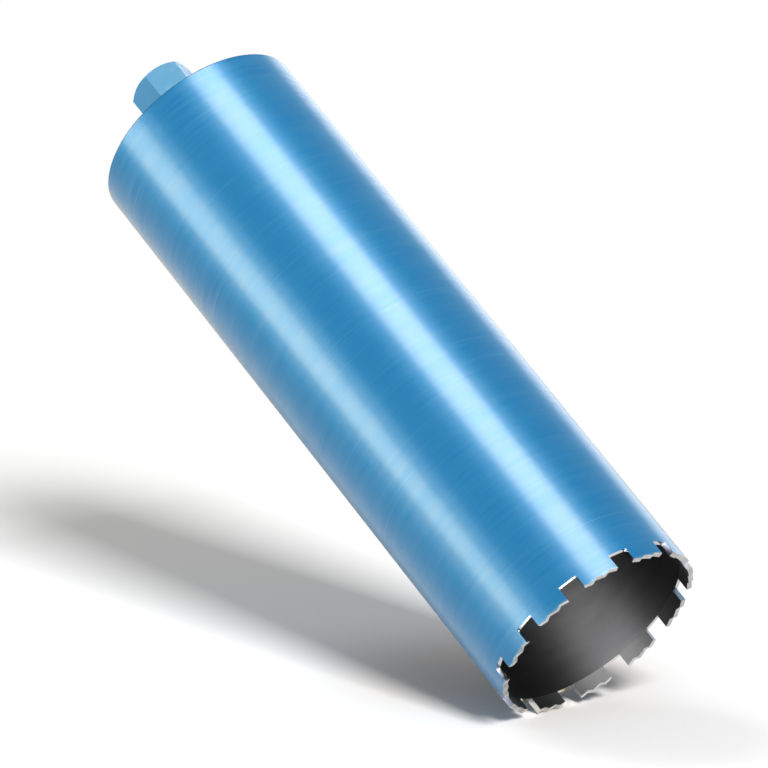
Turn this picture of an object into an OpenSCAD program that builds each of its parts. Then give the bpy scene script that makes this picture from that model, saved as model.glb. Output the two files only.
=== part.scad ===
// Diamond core bit for wet drilling in concrete and masonry.
// The bit stands on its crown: the cutting peaks lie on z = 0 and the threaded hub points up.
// Millimetres, +Z up, origin on the axis of the barrel.

/* [Barrel] */
// Drilling diameter, over the barrel and the segments
bit_d = 142; // [120:1:162]
// Length from the cutting peaks to the closed end of the barrel
drill_len = 450; // [300:10:500]
// Wall thickness of the barrel
barrel_wall = 3; // [2:0.1:3.4]
// Bevel on the outer edge of the closed end
end_bevel = 1; // [0.3:0.1:1.5]

/* [Crown] */
// Length of a segment along its outer face
seg_len = 24; // [18:0.5:25]
// Radial thickness of a segment
seg_thick = 3.5; // [3.4:0.1:5]
// Height of a segment, from the barrel to its cutting peaks
seg_height = 10; // [7:0.5:15]
// Distance between two cutting peaks along the outer face
tooth_pitch = 9.6; // [9:0.1:10.5]
// Part of that distance taken by the long ramp
tooth_ramp = 6.2; // [4:0.1:7]
// Flat land left on each cutting peak
tooth_land = 0.3; // [0.2:0.1:0.8]
// Depth of the valleys between the peaks
tooth_depth = 1.4; // [0.8:0.1:2.5]
// Distance of the first valley from the middle of the segment
tooth_shift = 6.2; // [5.4:0.1:6.8]

/* [Closed end] */
// Thickness of the end plate
plate_t = 8; // [5:0.5:14]
// Width of the hub over two opposite flats
hub_flats = 38; // [37:0.5:50]
// Height of the hub above the end plate
hub_height = 49; // [35:1:70]
// Slope of the turned chamfer on the hub's corners, in degrees
hub_slope = 40; // [20:1:50]
// Inset of the turned end inside the flats
hub_inset = 0.2; // [0.1:0.1:1]
// Diameter of the hub's spigot in the end plate
spigot_d = 36; // [35:0.5:37]
// Nominal diameter of the spindle thread
thread_d = 31.75; // [25:0.05:32]
// Lead-in around the mouth of the thread
thread_lead = 0.8; // [0.4:0.1:1.2]

/* [Hidden] */
// One named node a segment
seg_count = 12;
function segment_name(i) = str("segment_", i < 10 ? "0" : "", i);

$fn = 144;
hub_sides = 6;
// Cutters reach this far past the faces that they cut
over = 1;
bit_r = bit_d / 2;
barrel_bore_r = bit_r - barrel_wall;
plate_bottom_z = drill_len - plate_t;
hub_top_z = drill_len + hub_height;
hub_corner_r = hub_flats / 2 / cos(180 / hub_sides);
hub_end_r = hub_flats / 2 - hub_inset;
hub_corner_drop = (hub_corner_r - hub_end_r) * tan(hub_slope);
spigot_r = spigot_d / 2;
thread_r = thread_d / 2;
deg_per_mm = 360 / (PI * bit_d);
seg_step = 360 / seg_count;
seg_angle = seg_len * deg_per_mm;
seg_inner_r = bit_r - seg_thick;
tooth_drop = tooth_pitch - tooth_ramp - tooth_land;

steel_blue = [0.20, 0.52, 0.73];

// Steel tube with a bevelled closed end. Its open end carries the segments.
module barrel() {
    color(steel_blue)
        rotate_extrude()
            polygon([
                [barrel_bore_r, seg_height],
                [bit_r, seg_height],
                [bit_r, drill_len - end_bevel],
                [bit_r - end_bevel, drill_len],
                [barrel_bore_r, drill_len]
            ]);
}

// Round plate welded into the barrel, flush with its end and bored for the hub.
module end_plate() {
    color(steel_blue)
        rotate_extrude()
            translate([spigot_r, plate_bottom_z])
                square([barrel_bore_r - spigot_r, plate_t]);
}

// The hexagon of the hub, standing on the end plate, with its corners turned off at the free end.
module hub_hexagon() {
    intersection() {
        translate([0, 0, drill_len])
            rotate([0, 0, 180 / hub_sides])
                cylinder(r = hub_corner_r, h = hub_height, $fn = hub_sides);
        rotate_extrude()
            polygon([
                [0, drill_len],
                [hub_corner_r + over, drill_len],
                [hub_corner_r + over, hub_top_z - hub_corner_drop - over * tan(hub_slope)],
                [hub_end_r, hub_top_z],
                [0, hub_top_z]
            ]);
    }
}

// Threaded hub: a hexagon for the spanner and a spigot in the end plate, bored right through.
module hub() {
    color(steel_blue)
        difference() {
            union() {
                hub_hexagon();
                translate([0, 0, plate_bottom_z])
                    cylinder(r = spigot_r, h = plate_t);
            }
            translate([0, 0, plate_bottom_z - over])
                cylinder(r = thread_r, h = hub_top_z - plate_bottom_z + 2 * over);
            translate([0, 0, hub_top_z - thread_lead])
                cylinder(r1 = thread_r, r2 = thread_r + thread_lead + over, h = thread_lead + over);
        }
}

// Three-sided cutter for one valley: a long ramp on one side and a short drop on the other.
module tooth_valley() {
    reach = seg_thick + 2 * over;
    slope_over = over / tooth_depth;
    translate([seg_inner_r - over, 0, 0])
        rotate([90, 0, 90])
            linear_extrude(reach)
                polygon([
                    [-tooth_drop * (1 + slope_over), -over],
                    [0, tooth_depth],
                    [tooth_ramp * (1 + slope_over), -over]
                ]);
}

// One diamond segment: a curved block brazed to the barrel, with a saw-tooth cutting face.
module segment(i) {
    color(steel_blue)
        rotate([0, 0, (i - 1) * seg_step])
            difference() {
                rotate([0, 0, -seg_angle / 2])
                    rotate_extrude(angle = seg_angle)
                        translate([seg_inner_r, 0])
                            square([seg_thick, seg_height]);
                for (k = [0 : 2])
                    rotate([0, 0, (tooth_shift - k * tooth_pitch) * deg_per_mm])
                        tooth_valley();
            }
}

barrel();
end_plate();
hub();
for (i = [1 : seg_count])
    segment(i);
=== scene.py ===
# Looks for the diamond core bit: camera, studio, materials and the thread inside the hub.
# Everything is in metres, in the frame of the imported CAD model.

from math import ceil, cos, pi, radians, sin

import bpy
from mathutils import Matrix, Vector


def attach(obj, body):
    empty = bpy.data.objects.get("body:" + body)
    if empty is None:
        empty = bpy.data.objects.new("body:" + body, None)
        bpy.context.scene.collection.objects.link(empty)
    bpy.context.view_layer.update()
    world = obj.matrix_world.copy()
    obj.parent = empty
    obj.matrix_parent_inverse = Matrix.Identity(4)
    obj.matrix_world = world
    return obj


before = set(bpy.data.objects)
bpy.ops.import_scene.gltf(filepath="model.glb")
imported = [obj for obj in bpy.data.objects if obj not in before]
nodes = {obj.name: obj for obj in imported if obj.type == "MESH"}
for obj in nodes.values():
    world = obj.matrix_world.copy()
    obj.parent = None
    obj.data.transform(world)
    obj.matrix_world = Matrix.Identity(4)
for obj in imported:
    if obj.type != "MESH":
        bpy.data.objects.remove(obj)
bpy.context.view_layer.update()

# Sizes shared with the CAD model
BIT_R = 0.071
BARREL_WALL = 0.003
BORE_R = BIT_R - BARREL_WALL
SEG_THICK = 0.0035
SEG_INNER_R = BIT_R - SEG_THICK
SEG_HEIGHT = 0.010
PLATE_T = 0.008
PLATE_TOP = 0.450
PLATE_BOTTOM = PLATE_TOP - PLATE_T
HUB_HEIGHT = 0.049
HUB_TOP = PLATE_TOP + HUB_HEIGHT
THREAD_R = 0.015875

# Colours in pairs, each pair mixed by a noise
PAINT = (0.003, 0.151, 0.411)
PAINT_WORN = (0.008, 0.182, 0.460)
# Painted shade: the bevel at the closed end is painted dark, as a dark line along that edge.
BEVEL_PAINTED_SHADE = (0.002, 0.045, 0.125)
BEVEL_PAINTED_SHADE_PALE = (0.006, 0.080, 0.200)
STEEL_DARK = (0.015, 0.015, 0.0155)
STEEL_DARK_WORN = (0.021, 0.021, 0.0215)
TUBE_EDGE = (0.48, 0.48, 0.49)
TUBE_EDGE_BRIGHT = (0.56, 0.56, 0.57)
THREAD_STEEL = (0.30, 0.30, 0.31)
THREAD_STEEL_BRIGHT = (0.48, 0.48, 0.49)
# Painted shade: the slot sides and the inner faces of the segments are the same metal as the cutting faces,
# painted darker.
SLOT_SIDE_PAINTED_SHADE = (0.17, 0.178, 0.225)
SLOT_SIDE_PAINTED_SHADE_BRIGHT = (0.31, 0.325, 0.41)
SEGMENT_INSIDE_PAINTED_SHADE = (0.06, 0.06, 0.061)
SEGMENT_INSIDE_PAINTED_SHADE_BRIGHT = (0.12, 0.12, 0.121)
CUTTING_FACE = (0.60, 0.60, 0.61)
CUTTING_FACE_BRIGHT = (0.74, 0.74, 0.75)

# Plain colours
WHITE = (1.0, 1.0, 1.0)
HUB_BLUE = (0.026, 0.192, 0.418)
SCRATCH = (0.16, 0.36, 0.56)
HUB_SCUFF = (0.16, 0.34, 0.50)
PLATE_SCUFF = (0.20, 0.38, 0.55)
CROWN_SCUFF = (0.35, 0.48, 0.58)

# Camera of the photograph
CAM_POS = Vector((-0.60152, 3.01192, -1.29965))
CAM_RIGHT = Vector((-0.71149749, -0.42674601, -0.55826443))
CAM_UP = Vector((-0.67987879, 0.21729037, 0.70039256))
CAM_BACK = Vector((-0.17758425, 0.87787968, -0.44473711))
CAM_LENS = 254.965
CAM_SENSOR = 36.0
CAM_REACH = 50.0
# The polar angle of the side that the camera sees
FRONT_POLAR = 101.3

# The photograph's floor leans in this frame, because here the bit stands on its crown.
PHOTO_PITCH = radians(11.75)
PHOTO_UP = (CAM_UP * cos(PHOTO_PITCH) + CAM_BACK * sin(PHOTO_PITCH)).normalized()
# The way up from that floor and the way to the key lamp, as polar angle and elevation in degrees
SKY_WAY = (150.85, 36.5)
KEY_WAY = (132.85, -9.87)

# A unit vector with more than this along Z counts as vertical, and +Y stands in for its upright side.
NEARLY_UPRIGHT = 0.95


def direction(polar, elevation):
    """A unit vector, from its angle about +Z and its angle above the ground, in degrees."""
    a, e = radians(polar), radians(elevation)
    return Vector((cos(e) * cos(a), cos(e) * sin(a), sin(e)))


def facing(way):
    """Turns +Z to the given way, with +Y as upright as it goes."""
    hint = Vector((0, 0, 1)) if abs(way.z) < NEARLY_UPRIGHT else Vector((0, 1, 0))
    right = hint.cross(way).normalized()
    up = way.cross(right).normalized()
    return Matrix((right, up, way)).transposed()


def scaled(colour, factor):
    return tuple(c * factor for c in colour)


def make_camera():
    cam = bpy.data.cameras.new("camera")
    cam.lens = CAM_LENS
    cam.sensor_width = CAM_SENSOR
    cam.clip_end = CAM_REACH
    ob = bpy.data.objects.new("camera", cam)
    turn = Matrix((CAM_RIGHT, CAM_UP, CAM_BACK)).transposed()
    ob.matrix_world = Matrix.Translation(CAM_POS) @ turn.to_4x4()
    bpy.context.collection.objects.link(ob)
    bpy.context.scene.camera = ob


class Tree:
    """Short ways to add and join the shader nodes of a material or a world."""

    def __init__(self, owner):
        self.tree = owner.node_tree
        self.tree.nodes.clear()

    def node(self, kind, **settings):
        n = self.tree.nodes.new(kind)
        for name, value in settings.items():
            setattr(n, name, value)
        return n

    def put(self, value, socket):
        """Links a socket to another one, or sets its plain value. A colour is given without its alpha."""
        if isinstance(value, bpy.types.NodeSocket):
            self.tree.links.new(value, socket)
        elif socket.type == "RGBA":
            socket.default_value = (*value, 1.0)
        else:
            socket.default_value = value

    def math(self, op, a, b=0.0):
        n = self.node("ShaderNodeMath", operation=op)
        self.put(a, n.inputs[0])
        self.put(b, n.inputs[1])
        return n.outputs[0]

    def plus(self, a, b):
        return self.math("ADD", a, b)

    def minus(self, a, b):
        return self.math("SUBTRACT", a, b)

    def times(self, a, b):
        return self.math("MULTIPLY", a, b)

    def either(self, a, b):
        return self.math("MAXIMUM", a, b)

    def opposite(self, a):
        return self.minus(1.0, a)

    def above(self, value, limit):
        return self.math("GREATER_THAN", value, limit)

    def below(self, value, limit):
        return self.math("LESS_THAN", value, limit)

    def ramp(self, value, low, high, out_low=0.0, out_high=1.0):
        """Goes smoothly from out_low to out_high while the value goes from low to high."""
        n = self.node("ShaderNodeMapRange", interpolation_type="SMOOTHSTEP")
        for given, name in ((value, "Value"), (low, "From Min"), (high, "From Max"),
                            (out_low, "To Min"), (out_high, "To Max")):
            self.put(given, n.inputs[name])
        return n.outputs["Result"]

    def mix(self, factor, a, b):
        """Goes from colour a to colour b."""
        n = self.node("ShaderNodeMix", data_type="RGBA")
        self.put(factor, n.inputs["Factor"])
        self.put(a, n.inputs[6])
        self.put(b, n.inputs[7])
        return n.outputs[2]

    def blend(self, factor, a, b):
        """Goes from number a to number b."""
        n = self.node("ShaderNodeMix", data_type="FLOAT")
        self.put(factor, n.inputs["Factor"])
        self.put(a, n.inputs[2])
        self.put(b, n.inputs[3])
        return n.outputs[0]

    def shade(self, factor, a, b):
        """Goes from shader a to shader b."""
        n = self.node("ShaderNodeMixShader")
        for value, socket in zip((factor, a, b), n.inputs):
            self.put(value, socket)
        return n.outputs[0]

    def glow(self, colour, strength=1.0):
        n = self.node("ShaderNodeEmission")
        self.put(colour, n.inputs["Color"])
        self.put(strength, n.inputs["Strength"])
        return n.outputs[0]

    def matt(self, colour):
        n = self.node("ShaderNodeBsdfDiffuse")
        self.put(colour, n.inputs["Color"])
        return n.outputs[0]

    def place(self):
        """The place on a piece, in the part's own frame."""
        return self.node("ShaderNodeTexCoord").outputs["Object"]

    def face_way(self):
        """The way a flat face points."""
        return self.node("ShaderNodeNewGeometry").outputs["True Normal"]

    def parts(self, vector):
        """The outputs X, Y and Z of a vector."""
        n = self.node("ShaderNodeSeparateXYZ")
        self.put(vector, n.inputs[0])
        return n.outputs

    def radius(self, vector):
        """How far a vector reaches from the Z axis."""
        xyz = self.parts(vector)
        return self.math("SQRT", self.plus(self.times(xyz["X"], xyz["X"]), self.times(xyz["Y"], xyz["Y"])))

    def distance(self, vector, point):
        n = self.node("ShaderNodeVectorMath", operation="DISTANCE")
        self.put(vector, n.inputs[0])
        self.put(tuple(point), n.inputs[1])
        return n.outputs["Value"]

    def noise(self, at, scale, detail, rough):
        n = self.node("ShaderNodeTexNoise")
        self.put(at, n.inputs["Vector"])
        self.put(scale, n.inputs["Scale"])
        self.put(detail, n.inputs["Detail"])
        self.put(rough, n.inputs["Roughness"])
        return n.outputs["Fac"]

    def streaks(self, at, across, along, detail, rough):
        """Noise with one scale on x and y and another along z, so that it runs round the part."""
        n = self.node("ShaderNodeVectorMath", operation="MULTIPLY")
        self.put(at, n.inputs[0])
        self.put((across, across, along), n.inputs[1])
        return self.noise(n.outputs[0], 1.0, detail, rough)

    def bump(self, height, distance, strength):
        n = self.node("ShaderNodeBump")
        self.put(height, n.inputs["Height"])
        self.put(distance, n.inputs["Distance"])
        self.put(strength, n.inputs["Strength"])
        return n.outputs[0]

    def round_axis(self):
        """The way that brush marks run, round the axis of the part."""
        return self.node("ShaderNodeTangent", direction_type="RADIAL", axis="Z").outputs[0]

    def show(self, shader, kind="ShaderNodeOutputMaterial"):
        self.put(shader, self.node(kind).inputs[0])

    def finish(self, **values):
        """Shows one Principled node with the given inputs."""
        n = self.node("ShaderNodeBsdfPrincipled")
        for name, value in values.items():
            self.put(value, n.inputs[name.replace("_", " ")])
        self.show(n.outputs[0])


def new_material(name):
    mat = bpy.data.materials.new(name)
    mat.use_nodes = True
    return mat, Tree(mat)


# Most values of a noise lie in the first span, and nearly all in the second.
NOISE_SPAN = (0.3, 0.7)
NOISE_REACH = (0.2, 0.8)

# Lacquer
PAINT_METAL = 0.50
PAINT_ROUGH = (0.50, 0.64)
COAT_ROUGH = 0.24
COAT_IOR = 1.40
COAT_THIN = 0.68
BRUSHED = 0.75
BRUSH_TURN = 0.25
STREAK_DEPTH = 0.00003
STREAK_STRENGTH = 0.7
# Share of the wide streaks in the shade and in the height of the lacquer
WIDE_SHADE = 0.25
WIDE_HEIGHT = 0.3
SCRATCH_SHOWS = 0.22
# A face whose normal falls below this looks down.
DOWNWARD = -0.5


def lacquer(t, at):
    """Blue lacquer on turned steel, with fine and wide streaks round the axis and a few long scratches.
    Gives its colour, roughness, coat weight and height."""
    fine = t.streaks(at, 26.0, 1100.0, 2.0, 0.6)
    wide = t.streaks(at, 12.0, 420.0, 3.0, 0.6)
    scratch = t.ramp(t.streaks(at, 11.0, 1400.0, 1.0, 0.4), 0.70, 0.78)
    colour = t.mix(t.ramp(t.blend(WIDE_SHADE, fine, wide), 0.30, 0.72), PAINT, PAINT_WORN)
    colour = t.mix(t.times(scratch, SCRATCH_SHOWS), colour, SCRATCH)
    rough = t.ramp(fine, *NOISE_SPAN, *PAINT_ROUGH)
    coat = t.ramp(fine, 0.36, 0.64, COAT_THIN, 1.0)
    height = t.blend(WIDE_HEIGHT, fine, wide)
    return colour, rough, coat, height


# Barrel
# How near the outer radius and the closed end a face of the barrel is lacquered
SKIN = 0.0015
END_SKIN = 0.0002
# Where the painted shade on the bevel starts and ends, below the closed end
BEVEL_START = 0.0016
BEVEL_END = 0.0004
INNER_ROUGH = (0.43, 0.47)
TUBE_EDGE_ROUGH = 0.18


def make_barrel_material():
    """Lacquer outside, painted shade on the bevel at the closed end, a dark bare bore and a pale edge at the
    open end.
    """
    mat, t = new_material("barrel_blue_lacquer")
    at = t.place()
    z = t.parts(at)["Z"]
    outside = t.either(t.above(t.radius(at), BIT_R - SKIN), t.above(z, PLATE_TOP - END_SKIN))
    edge = t.below(t.parts(t.face_way())["Z"], DOWNWARD)
    painted = t.times(outside, t.opposite(edge))
    blue, blue_rough, coat, height = lacquer(t, at)
    cloud = t.noise(at, 14.0, 2.0, 0.5)
    # painted shade: the bevel at the closed end is painted dark, as a dark line along that edge
    bevel = t.ramp(z, PLATE_TOP - BEVEL_START, PLATE_TOP - BEVEL_END)
    blue = t.mix(bevel, blue, t.mix(cloud, BEVEL_PAINTED_SHADE, BEVEL_PAINTED_SHADE_PALE))

    marks = t.streaks(at, 30.0, 160.0, 4.0, 0.6)
    colour = t.mix(painted, t.mix(marks, STEEL_DARK, STEEL_DARK_WORN), blue)
    colour = t.mix(edge, colour, t.mix(cloud, TUBE_EDGE, TUBE_EDGE_BRIGHT))
    rough = t.blend(painted, t.ramp(marks, *NOISE_REACH, *INNER_ROUGH), blue_rough)
    rough = t.blend(edge, rough, TUBE_EDGE_ROUGH)
    coated = t.times(t.times(painted, coat), t.opposite(bevel))
    bump = t.bump(height, STREAK_DEPTH, STREAK_STRENGTH)
    t.finish(Base_Color=colour, Metallic=t.blend(painted, 1.0, PAINT_METAL), Roughness=rough,
             Coat_Weight=coated, Coat_Roughness=COAT_ROUGH, Coat_IOR=COAT_IOR, Specular_IOR_Level=0.0,
             Normal=bump, Coat_Normal=bump, Anisotropic=BRUSHED, Anisotropic_Rotation=BRUSH_TURN,
             Tangent=t.round_axis())
    return mat


# Hub
# How far outside the nominal radius of the thread the bare steel of the bore reaches
BORE_SKIN = 0.0012
HUB_WEAR = 1.08
HUB_SCUFF_SHOWS = 0.2
HUB_ROUGH = (0.44, 0.54)
HUB_SPECULAR = 0.28
BORE_ROUGH = 0.35
GRAIN_DEPTH = 0.00003
GRAIN_STRENGTH = 0.5


def make_hub_material():
    """Plain blue lacquer outside and bare steel in the bore, with the thread."""
    mat, t = new_material("hub_blue_lacquer")
    at = t.place()
    bore = t.below(t.radius(at), THREAD_R + BORE_SKIN)
    grain = t.streaks(at, 60.0, 700.0, 3.0, 0.6)
    cloud = t.noise(at, 60.0, 3.0, 0.5)
    blue = t.mix(t.ramp(grain, *NOISE_SPAN), HUB_BLUE, scaled(HUB_BLUE, HUB_WEAR))
    blue = t.mix(t.times(t.ramp(cloud, 0.55, 0.7), HUB_SCUFF_SHOWS), blue, HUB_SCUFF)
    colour = t.mix(bore, blue, t.mix(grain, THREAD_STEEL, THREAD_STEEL_BRIGHT))
    rough = t.blend(bore, t.ramp(grain, *NOISE_REACH, *HUB_ROUGH), BORE_ROUGH)
    t.finish(Base_Color=colour, Metallic=bore, Roughness=rough, Specular_IOR_Level=HUB_SPECULAR,
             Normal=t.bump(grain, GRAIN_DEPTH, GRAIN_STRENGTH))
    return mat


# End plate
TURNING_SCALE = 2600.0
PLATE_METAL = 0.2
PLATE_UNDER_METAL = 0.85
PLATE_ROUGH = (0.56, 0.70)
PLATE_SCUFF_SHOWS = 0.15
GROOVE_HALF = 0.0006
GROOVE_DEPTH = 0.0002
GROOVE_STRENGTH = 0.5
TURNING_HEIGHT = 0.1


def make_plate_material():
    """Lacquer over turned rings on top, and bare steel under it."""
    mat, t = new_material("end_plate_blue_lacquer")
    at = t.place()
    r = t.radius(at)
    under = t.below(t.parts(t.face_way())["Z"], DOWNWARD)
    rings = t.node("ShaderNodeTexNoise", noise_dimensions="1D")
    t.put(t.plus(t.times(r, TURNING_SCALE), t.noise(at, 4.0, 2.0, 0.5)), rings.inputs["W"])
    t.put(1.0, rings.inputs["Scale"])
    t.put(3.0, rings.inputs["Detail"])
    turned = rings.outputs["Fac"]
    cloud = t.noise(at, 22.0, 3.0, 0.5)
    blue = t.mix(t.ramp(turned, *NOISE_SPAN), PAINT, PAINT_WORN)
    blue = t.mix(t.times(t.ramp(cloud, 0.5, 0.75), PLATE_SCUFF_SHOWS), blue, PLATE_SCUFF)
    # the joint with the barrel shows as a fine groove
    groove = t.ramp(t.math("ABSOLUTE", t.minus(r, BORE_R)), 0.0, GROOVE_HALF)
    bump = t.bump(t.plus(t.times(turned, TURNING_HEIGHT), groove), GROOVE_DEPTH, GROOVE_STRENGTH)
    t.finish(Base_Color=t.mix(under, blue, STEEL_DARK),
             Metallic=t.blend(under, PLATE_METAL, PLATE_UNDER_METAL),
             Roughness=t.ramp(turned, *NOISE_REACH, *PLATE_ROUGH), Coat_Weight=t.opposite(under),
             Coat_Roughness=COAT_ROUGH, Coat_IOR=COAT_IOR, Specular_IOR_Level=0.0, Normal=bump,
             Coat_Normal=bump)
    return mat


# Segments
# A face whose normal has more than this along the radius is an outer or inner face.
RADIAL = 0.9
SCUFF_HEIGHT = 0.0024
CROWN_SCUFF_SHOWS = 0.25
SEGMENT_ROUGH = (0.34, 0.50)
SEGMENT_INSIDE_ROUGH = (0.50, 0.58)


def make_segment_material():
    """Lacquer on the outer face, as on the barrel, and bare gritty metal on the others, painted darker on
    the slot sides and darkest on the inner face as painted shade.
    """
    mat, t = new_material("segment_metal_and_lacquer")
    at, way = t.place(), t.parts(t.face_way())
    xyz = t.parts(at)
    radial = t.plus(t.times(way["X"], xyz["X"]), t.times(way["Y"], xyz["Y"]))
    radial = t.math("DIVIDE", radial, t.radius(at))
    outer = t.above(radial, RADIAL)
    inner = t.below(radial, -RADIAL)
    cutting = t.below(way["Z"], DOWNWARD)
    blue, blue_rough, coat, height = lacquer(t, at)
    scuff = t.ramp(xyz["Z"], 0.0, SCUFF_HEIGHT, 1.0, 0.0)
    blue = t.mix(t.times(scuff, CROWN_SCUFF_SHOWS), blue, CROWN_SCUFF)
    grit = t.noise(at, 2200.0, 2.0, 0.6)
    # One sintered metal on the bare faces: the slot sides and the inner faces are painted darker than the
    # cutting face, as painted shade in the slots and inside the barrel.
    side = t.mix(grit, SLOT_SIDE_PAINTED_SHADE, SLOT_SIDE_PAINTED_SHADE_BRIGHT)
    inside = t.mix(grit, SEGMENT_INSIDE_PAINTED_SHADE, SEGMENT_INSIDE_PAINTED_SHADE_BRIGHT)
    bare = t.mix(cutting, t.mix(inner, side, inside), t.mix(grit, CUTTING_FACE, CUTTING_FACE_BRIGHT))
    bare_rough = t.blend(inner, t.ramp(grit, *NOISE_REACH, *SEGMENT_ROUGH),
                         t.ramp(grit, *NOISE_REACH, *SEGMENT_INSIDE_ROUGH))
    bump = t.bump(t.blend(outer, grit, height), STREAK_DEPTH, STREAK_STRENGTH)
    t.finish(Base_Color=t.mix(outer, bare, blue), Metallic=t.blend(outer, 1.0, PAINT_METAL),
             Roughness=t.blend(outer, bare_rough, blue_rough), Coat_Weight=t.times(outer, coat),
             Coat_Roughness=COAT_ROUGH, Coat_IOR=COAT_IOR, Specular_IOR_Level=0.0, Normal=bump,
             Coat_Normal=bump, Anisotropic=BRUSHED, Anisotropic_Rotation=BRUSH_TURN,
             Tangent=t.round_axis())
    return mat


def dress(ob, mat):
    for slot in ob.material_slots:
        slot.material = mat


# Thread inside the hub
THREAD_PITCH = 0.003629
# The base of its ridge sinks this far into the wall of the bore.
THREAD_SINK = 0.000045
THREAD_BASE_R = THREAD_R + THREAD_SINK
THREAD_CREST_R = 0.01425
THREAD_BASE_HALF = 0.00155
THREAD_CREST_HALF = 0.00022
THREAD_FROM_BOTTOM = 0.0020
THREAD_FROM_TOP = 0.0018
THREAD_START = PLATE_BOTTOM + THREAD_FROM_BOTTOM
THREAD_END = HUB_TOP - THREAD_FROM_TOP
STEPS_A_TURN = 72
FADE_TURNS = 0.6
LEAST_RIDGE = 0.02
SHARP_EDGE = radians(30)


def make_thread():
    """The ridge of a right-hand internal thread, as one swept ribbon that fades out at both ends."""
    turns = (THREAD_END - THREAD_START) / THREAD_PITCH
    steps = ceil(turns * STEPS_A_TURN)
    verts, faces = [], []
    for i in range(steps + 1):
        turn = turns * i / steps
        a = 2 * pi * turn
        z = THREAD_START + THREAD_PITCH * turn
        grow = max(LEAST_RIDGE, min(1.0, turn / FADE_TURNS, (turns - turn) / FADE_TURNS))
        crest_r = THREAD_BASE_R - (THREAD_BASE_R - THREAD_CREST_R) * grow
        base_half = THREAD_BASE_HALF * grow
        for r, dz in ((THREAD_BASE_R, -base_half), (crest_r, -THREAD_CREST_HALF),
                      (crest_r, THREAD_CREST_HALF), (THREAD_BASE_R, base_half)):
            verts.append((r * cos(a), r * sin(a), z + dz))
    for i in range(steps):
        for k in range(4):
            a0, a1 = 4 * i + k, 4 * i + (k + 1) % 4
            faces.append((a0, a1, a1 + 4, a0 + 4))
    faces.append((3, 2, 1, 0))
    last = 4 * steps
    faces.append((last, last + 1, last + 2, last + 3))
    me = bpy.data.meshes.new("hub_thread")
    me.from_pydata(verts, [], faces)
    me.validate()
    me.shade_smooth()
    me.set_sharp_from_angle(angle=SHARP_EDGE)
    ob = bpy.data.objects.new("hub_thread", me)
    bpy.context.collection.objects.link(ob)
    return ob


# Floors
FLOOR_HALF = 5.0
PHOTO_FLOOR = 0.46
REST_FLOOR = 0.66
PAPER_LOW = 0.985
# Distances over which each floor fades to plain white
PHOTO_FADE = (0.50, 0.95)
REST_FADE = (0.25, 0.90)
# From the contact to the middle of that fade, and to the middle of the painted shadow under the barrel
FADE_SHIFT = 0.38
SHADE_SHIFT = 0.09
SHADE_REACH = (0.03, 0.145)
# The paper is painted darker and warmer near the contact, a painted shadow under the barrel that also keeps
# the blue of the barrel out of its own shadow.
PAINTED_SHADOW_PAPER = (0.89, 0.82, 0.76)
# Glossy faces mirror a warmer paper too.
MIRRORED_PAPER = (1.22, 1.0, 0.68)
UNDERSIDE_GLOW = 0.52


def uneven_paper(t, place, level):
    return t.mix(t.noise(place, 3.0, 2.0, 0.5), scaled(WHITE, level * PAPER_LOW), scaled(WHITE, level))


def make_photo_paper(fade_middle, shade_middle):
    """Pale paper that lights the part and takes its shadow, seen from its upper side alone."""
    mat, t = new_material("photo_floor_paper")
    rays = t.node("ShaderNodeLightPath").outputs
    geo = t.node("ShaderNodeNewGeometry").outputs
    place, back = geo["Position"], geo["Backfacing"]
    camera, glossy, diffuse = rays["Is Camera Ray"], rays["Is Glossy Ray"], rays["Is Diffuse Ray"]

    # bare metal in the mouth of the barrel doesn't mirror the paper in front of it
    mirrored = t.times(glossy, t.above(t.parts(place)["Z"], 0.0))
    seen = t.times(t.either(camera, t.either(diffuse, mirrored)), t.opposite(back))

    # painted shadow: darker, warmer paper under the barrel near the contact
    shaded = t.ramp(t.distance(place, shade_middle), *SHADE_REACH, 1.0, 0.0)
    pale = t.mix(shaded, uneven_paper(t, place, PHOTO_FLOOR), scaled(PAINTED_SHADOW_PAPER, PHOTO_FLOOR))
    pale = t.mix(glossy, pale, scaled(MIRRORED_PAPER, PHOTO_FLOOR))
    white = t.mix(glossy, WHITE, MIRRORED_PAPER)
    far = t.times(t.ramp(t.distance(place, fade_middle), *PHOTO_FADE), t.either(camera, glossy))
    paper = t.shade(far, t.matt(pale), t.glow(white))

    # From below the paper is open, but it gives the level floor there the light of its upper side,
    # so that no seam shows where the two floors cross.
    clear = t.node("ShaderNodeBsdfTransparent").outputs[0]
    below = t.shade(t.times(diffuse, back), clear, t.glow(WHITE, UNDERSIDE_GLOW))
    t.show(t.shade(seen, below, paper))
    return mat


def make_rest_paper():
    """Pale paper that the camera alone sees, from its upper side."""
    mat, t = new_material("rest_floor_paper")
    geo = t.node("ShaderNodeNewGeometry").outputs
    camera = t.node("ShaderNodeLightPath").outputs["Is Camera Ray"]
    seen = t.times(camera, t.opposite(geo["Backfacing"]))
    far = t.ramp(t.distance(geo["Position"], (0.0, 0.0, 0.0)), *REST_FADE)
    paper = t.shade(far, t.matt(uneven_paper(t, geo["Position"], REST_FLOOR)), t.glow(WHITE))
    t.show(t.shade(seen, t.node("ShaderNodeBsdfTransparent").outputs[0], paper))
    return mat


def make_floor(name, centre, up, mat):
    """A large square of paper that looks up."""
    turn = facing(up)
    sides = ((-1, -1), (1, -1), (1, 1), (-1, 1))
    corners = [centre + turn @ Vector((x, y, 0.0)) * FLOOR_HALF for x, y in sides]
    me = bpy.data.meshes.new(name)
    me.from_pydata([tuple(c) for c in corners], [], [(0, 1, 2, 3)])
    me.materials.append(mat)
    ob = bpy.data.objects.new(name, me)
    bpy.context.collection.objects.link(ob)
    return ob


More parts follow.
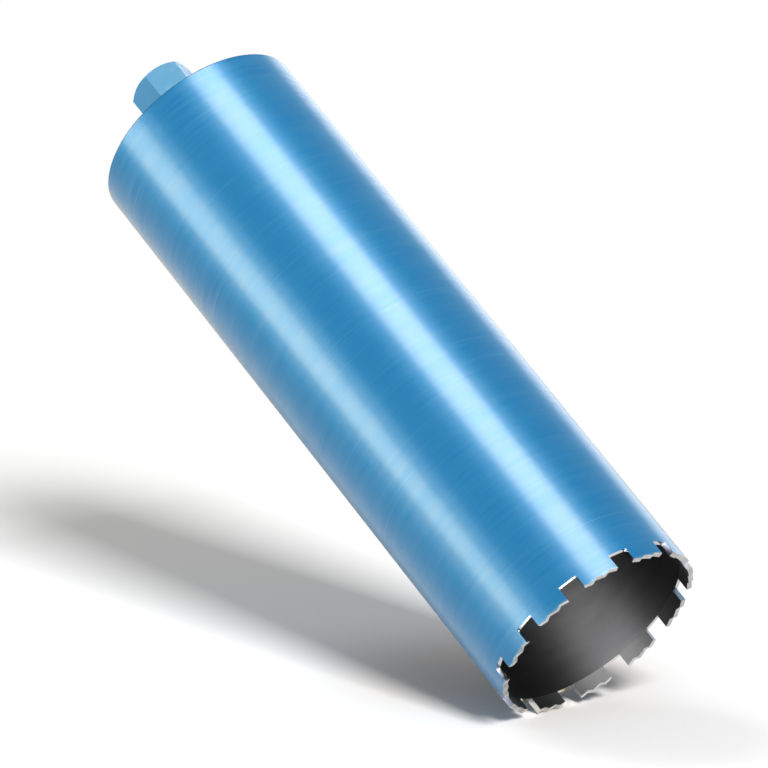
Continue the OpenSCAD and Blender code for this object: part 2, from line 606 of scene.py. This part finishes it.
def lowest_point():
    """The place on the crown that touches the photograph's floor."""
    flat = Vector((PHOTO_UP.x, PHOTO_UP.y, 0.0)).normalized()
    return -flat * BIT_R


# World
WORLD_AMBIENT = 0.36
# Glossy faces mirror white walls above the ground line. Below it they mirror white behind the part and
# black elsewhere, as behind black cards.
GROUND_LINE = (-0.12, 0.0)
CARD_EDGE = (-0.45, -0.85)
# The mirrored walls are a little warm on one side and cool on the other.
WARM_WALL = (1.06, 0.92, 0.72)
WARM_EDGE = (-0.8, 0.1)
COOL_WALL = (0.75, 1.08, 1.12)
COOL_EDGE = (0.1, 0.8)
NOT_ZERO = 0.001


def make_world():
    """White for the camera, even light for rough faces and the mirrored studio for glossy ones."""
    world = bpy.data.worlds.new("studio")
    bpy.context.scene.world = world
    world.use_nodes = True
    t = Tree(world)
    rays = t.node("ShaderNodeLightPath").outputs
    way = t.node("ShaderNodeTexCoord").outputs["Generated"]
    x, y, z = t.parts(way)
    a = radians(FRONT_POLAR)
    ahead = t.plus(t.times(x, cos(a)), t.times(y, sin(a)))
    beside = t.minus(t.times(y, cos(a)), t.times(x, sin(a)))
    ahead = t.math("DIVIDE", ahead, t.either(t.radius(way), NOT_ZERO))
    cards = t.ramp(ahead, *CARD_EDGE)
    mirrored = t.blend(t.ramp(z, *GROUND_LINE), cards, 1.0)
    strength = t.blend(rays["Is Glossy Ray"], WORLD_AMBIENT, mirrored)
    strength = t.blend(t.either(rays["Is Camera Ray"], rays["Is Transmission Ray"]), strength, 1.0)
    wall = t.mix(t.ramp(beside, *WARM_EDGE), WARM_WALL, WHITE)
    wall = t.mix(t.ramp(beside, *COOL_EDGE), wall, COOL_WALL)
    studio = t.node("ShaderNodeBackground")
    t.put(t.mix(rays["Is Glossy Ray"], WHITE, wall), studio.inputs["Color"])
    t.put(strength, studio.inputs["Strength"])
    t.show(studio.outputs[0], "ShaderNodeOutputWorld")
    world.cycles.sampling_method = "NONE"


# Lamps
BIT_MIDDLE = Vector((0.0, 0.0, PLATE_TOP / 2))
LAMP_DISTANCE = 5.0
RIGHT_POLAR = 143.5
LEFT_POLAR = 44.5
STRIP_RISE = 26.0
STRIP_SIZE = (2.4, 1.7)
LEFT_STRIP_SIZE = (2.45, 1.7)
FEATHER_SIZE = (1.0, 1.7)
GROUND_RISE = 30.0
FLOOR_TINT = (1.0, 0.985, 0.96)


def collection_of(name, objects):
    c = bpy.data.collections.new(name)
    for ob in objects:
        c.objects.link(ob)
    return c


def make_lamp(name, polar, elevation, size, level, lights, tint=WHITE, distance=LAMP_DISTANCE,
              aim=BIT_MIDDLE):
    """A rectangular lamp that lights one collection. Its polar angle and elevation, in degrees, give the way
    to it from the place it is aimed at, and level is what it adds to a facing white surface there."""
    back = direction(polar, elevation)
    lamp = bpy.data.lights.new(name, "AREA")
    lamp.shape = "RECTANGLE"
    lamp.size, lamp.size_y = size
    lamp.color = tint
    # a small lamp of power P lights a facing surface with P / (pi * distance * distance),
    # and a white surface sends that on as 1 / pi of it
    lamp.energy = level * pi * pi * distance * distance
    ob = bpy.data.objects.new(name, lamp)
    ob.matrix_world = Matrix.Translation(aim + back * distance) @ facing(back).to_4x4()
    ob.visible_camera = False
    bpy.context.collection.objects.link(ob)
    ob.light_linking.receiver_collection = lights


# The scene
make_camera()
make_world()

barrel, plate, hub = nodes["barrel"], nodes["end_plate"], nodes["hub"]
segments = [ob for name, ob in nodes.items() if name.startswith("segment_")]
dress(barrel, make_barrel_material())
dress(plate, make_plate_material())
hub_material = make_hub_material()
dress(hub, hub_material)
segment_material = make_segment_material()
for segment in segments:
    dress(segment, segment_material)

thread = make_thread()
thread.data.materials.append(hub_material)
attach(thread, "root")

contact = lowest_point()
key_way = direction(*KEY_WAY)
shadow_way = (key_way.project(PHOTO_UP) - key_way).normalized()
photo_paper = make_photo_paper(contact + shadow_way * FADE_SHIFT, contact + shadow_way * SHADE_SHIFT)
photo_floor = make_floor("photo_floor", contact, PHOTO_UP, photo_paper)
rest_floor = make_floor("rest_floor", Vector((0.0, 0.0, 0.0)), Vector((0.0, 0.0, 1.0)), make_rest_paper())

part = [*nodes.values(), thread]
on_part = collection_of("lit_by_studio", [ob for ob in part if ob is not plate])
off_hub = collection_of("lit_by_left_strip", [ob for ob in part if ob is not plate and ob is not hub])
on_plate = collection_of("lit_by_plate_lamp", [plate])
on_hub = collection_of("lit_by_hub_lamp", [hub])
on_ground = collection_of("lit_by_ground_lamps", [rest_floor])
on_floor = collection_of("lit_by_key", [photo_floor])
on_crown = collection_of("lit_by_crown", segments)
in_mouth = collection_of("lit_by_mouth", [barrel, plate, hub])

# The key casts the shadow on the leaning floor, and three soft lamps fill that shadow.
make_lamp("key", *KEY_WAY, size=(3.5, 4.2), level=2.42, lights=on_floor, distance=14.0)
make_lamp("sky", *SKY_WAY, size=(8.0, 8.0), level=0.12, lights=on_floor, tint=FLOOR_TINT, distance=4.0)
make_lamp("end_light", 136.0, 72.0, size=(2.0, 2.0), level=0.48, lights=on_floor, tint=FLOOR_TINT)
make_lamp("cross_light", 60.0, 68.0, size=(1.8, 1.8), level=0.22, lights=on_floor, tint=FLOOR_TINT)

# Light from above. The flat top of the end plate would mirror the strips, so it has a soft lamp of its
# own, and the hub has a weak one for the faces that the strips miss.
make_lamp("top", 150.0, 89.0, size=(1.5, 1.5), level=0.21, lights=on_part)
make_lamp("plate_light", 150.0, 62.0, size=(3.0, 3.0), level=0.80, lights=on_plate)
make_lamp("hub_rim", 257.0, 25.0, size=(2.0, 2.0), level=0.18, lights=on_hub, tint=(1.0, 0.85, 0.8))

# The level floor has neutral lamps of its own.
make_lamp("ground_right", RIGHT_POLAR, GROUND_RISE, STRIP_SIZE, level=0.95, lights=on_ground)
make_lamp("ground_left", LEFT_POLAR, GROUND_RISE, STRIP_SIZE, level=0.75, lights=on_ground)
make_lamp("ground_top", 300.0, 75.0, size=(2.4, 2.4), level=0.25, lights=on_ground)

# The strips make the two bright bands along the barrel, and the feathers soften the edges of the bands.
make_lamp("strip_right", RIGHT_POLAR, STRIP_RISE, STRIP_SIZE, level=1.22, lights=on_part,
          tint=(1.0, 0.97, 0.74))
make_lamp("feather_right", 166.0, STRIP_RISE, FEATHER_SIZE, level=0.045, lights=on_part,
          tint=(0.8, 1.0, 0.7))
make_lamp("strip_left", LEFT_POLAR, STRIP_RISE, LEFT_STRIP_SIZE, level=0.76, lights=off_hub,
          tint=(1.0, 0.98, 0.67))
make_lamp("hub_left", LEFT_POLAR, STRIP_RISE, LEFT_STRIP_SIZE, level=0.58, lights=on_hub,
          tint=(1.0, 0.89, 0.62))
make_lamp("rim", 251.0, 25.0, size=(2.4, 2.0), level=0.09, lights=on_part)
make_lamp("feather_left", 67.0, STRIP_RISE, FEATHER_SIZE, level=0.085, lights=on_part,
          tint=(0.8, 1.0, 0.85))
make_lamp("feather_middle", 119.0, STRIP_RISE, FEATHER_SIZE, level=0.035, lights=on_part,
          tint=(0.85, 1.0, 0.6))
make_lamp("back_fill", 315.0, 25.0, size=(2.0, 2.0), level=0.08, lights=on_part)

# A small lamp under the open end shines into the barrel and reaches no outer face. Another one, just
# inside, lights the inner faces of the far segments.
make_lamp("mouth", FRONT_POLAR - 4.0, -60.6, size=(0.11, 0.03), level=50.0, lights=in_mouth,
          distance=0.0918, aim=Vector((0.0, 0.0, 0.02)))
far_crown = direction(FRONT_POLAR + 185.0, 0.0) * SEG_INNER_R + Vector((0.0, 0.0, SEG_HEIGHT / 2))
make_lamp("crown", FRONT_POLAR + 10.0, 22.9, size=(0.06, 0.02), level=2.0, lights=on_crown,
          distance=0.073, aim=far_crown)

bpy.context.scene.view_settings.view_transform = "Standard"
